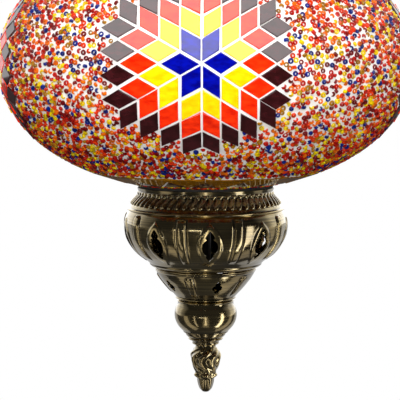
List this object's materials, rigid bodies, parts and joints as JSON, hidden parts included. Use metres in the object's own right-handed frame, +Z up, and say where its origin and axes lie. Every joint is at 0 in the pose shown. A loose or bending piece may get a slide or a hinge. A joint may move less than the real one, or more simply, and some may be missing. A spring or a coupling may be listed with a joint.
{
  "type": "hanging mosaic glass lamp",
  "caption": "Squat mosaic glass globe lamp between pierced antique-brass stacks with a turned bottom finial, hung from a ceiling canopy on a short chain.",
  "frame": {"origin": "on the ceiling, at the middle of the ceiling plate's upper face", "axes": "+Z up, along the lamp's axis; -Y is the front, where one tile medallion faces"},
  "size_m": [0.3, 0.3, 0.6814],
  "materials": {
    "brass": "antique, lacquered, brushed",
    "steel": "zinc plated",
    "globe_glass": "clear",
    "beads": "mixed glass seed beads in white grout",
    "tiles": "coloured glass tiles in white grout",
    "amber_tiles": "amber and maroon glass tiles in white grout",
    "seal": "matt",
    "porcelain": "unglazed",
    "white_plastic": "moulded",
    "bulb_glass": "opal"
  },
  "bodies": {
    "ceiling": {"ceiling_plate": "steel", "canopy_stud": "steel", "canopy": "brass", "canopy_washer": "steel", "canopy_nut": "steel", "canopy_loop": "brass", "canopy_cord_bush": "brass", "terminal_block": "white_plastic"},
    "link_1": {"chain_link_1": "brass"},
    "link_2": {"chain_link_2": "brass"},
    "link_3": {"chain_link_3": "brass"},
    "link_4": {"chain_link_4": "brass"},
    "link_5": {"chain_link_5": "brass"},
    "lamp": {"lamp_loop": "brass", "top_nipple": "steel", "nipple_nut": "steel", "upper_ball": "brass", "upper_cup": "brass", "upper_bowl": "brass", "upper_gallery": "brass", "upper_seal": "seal", "glass_globe": "globe_glass", "bead_field": "beads", "medallion_front": "tiles", "medallion_right": "tiles", "medallion_back": "tiles", "medallion_left": "tiles", "collar_band_top": "amber_tiles", "collar_band_bottom": "amber_tiles", "yoke_top_bar": "steel", "yoke_bottom_bar": "steel", "yoke_rod_left": "steel", "yoke_rod_right": "steel", "yoke_nut_top_left": "steel", "yoke_nut_top_right": "steel", "yoke_nut_bottom_left": "steel", "yoke_nut_bottom_right": "steel", "lampholder_cap": "brass", "lampholder_shell": "brass", "lampholder_insert": "porcelain", "lampholder_ring": "brass", "lower_seal": "seal", "lower_gallery": "brass", "lower_bowl": "brass", "lower_cup": "brass", "lower_ball": "brass", "centre_stud": "steel", "stud_nut": "steel"},
    "finial_seat": {"finial_collar": "brass"},
    "finial": {"finial": "brass"},
    "bulb_seat": {"bulb_contact": "steel"},
    "bulb": {"bulb_base": "steel", "bulb_glass": "bulb_glass"}
  },
  "joints": [
    {"name": "link_1_swing", "type": "hinge", "parent": "ceiling", "child": "link_1", "pos_m": [0, 0, -0.075], "axis": [1, 0, 0], "range_deg": [-20, 20]},
    {"name": "link_2_swing", "type": "hinge", "parent": "link_1", "child": "link_2", "pos_m": [0, 0, -0.1004], "axis": [0, 1, 0], "range_deg": [-20, 20]},
    {"name": "link_3_swing", "type": "hinge", "parent": "link_2", "child": "link_3", "pos_m": [0, 0, -0.1271], "axis": [1, 0, 0], "range_deg": [-20, 20]},
    {"name": "link_4_swing", "type": "hinge", "parent": "link_3", "child": "link_4", "pos_m": [0, 0, -0.1538], "axis": [0, 1, 0], "range_deg": [-20, 20]},
    {"name": "link_5_swing", "type": "hinge", "parent": "link_4", "child": "link_5", "pos_m": [0, 0, -0.1805], "axis": [1, 0, 0], "range_deg": [-20, 20]},
    {"name": "lamp_swing", "type": "hinge", "parent": "link_5", "child": "lamp", "pos_m": [0, 0, -0.2072], "axis": [0, 1, 0], "range_deg": [-20, 20]},
    {"name": "finial_travel", "type": "slide", "parent": "lamp", "child": "finial_seat", "axis": [0, 0, -1], "range_m": [0, 0.015]},
    {"name": "finial_turn", "type": "hinge", "parent": "finial_seat", "child": "finial", "pos_m": [0, 0, -0.6542], "axis": [0, 0, -1], "range_deg": [0, 4325]},
    {"name": "bulb_travel", "type": "slide", "parent": "lamp", "child": "bulb_seat", "axis": [0, 0, -1], "range_m": [0, 0.02534]},
    {"name": "bulb_turn", "type": "hinge", "parent": "bulb_seat", "child": "bulb", "pos_m": [0, 0, -0.4192], "axis": [0, 0, -1], "range_deg": [0, 2525]}
  ],
  "couplings": [
    {"joint": "finial_turn", "follows": "finial_travel", "rad_per_m": 5026.5},
    {"joint": "bulb_turn", "follows": "bulb_travel", "rad_per_m": 1735.7}
  ]
}
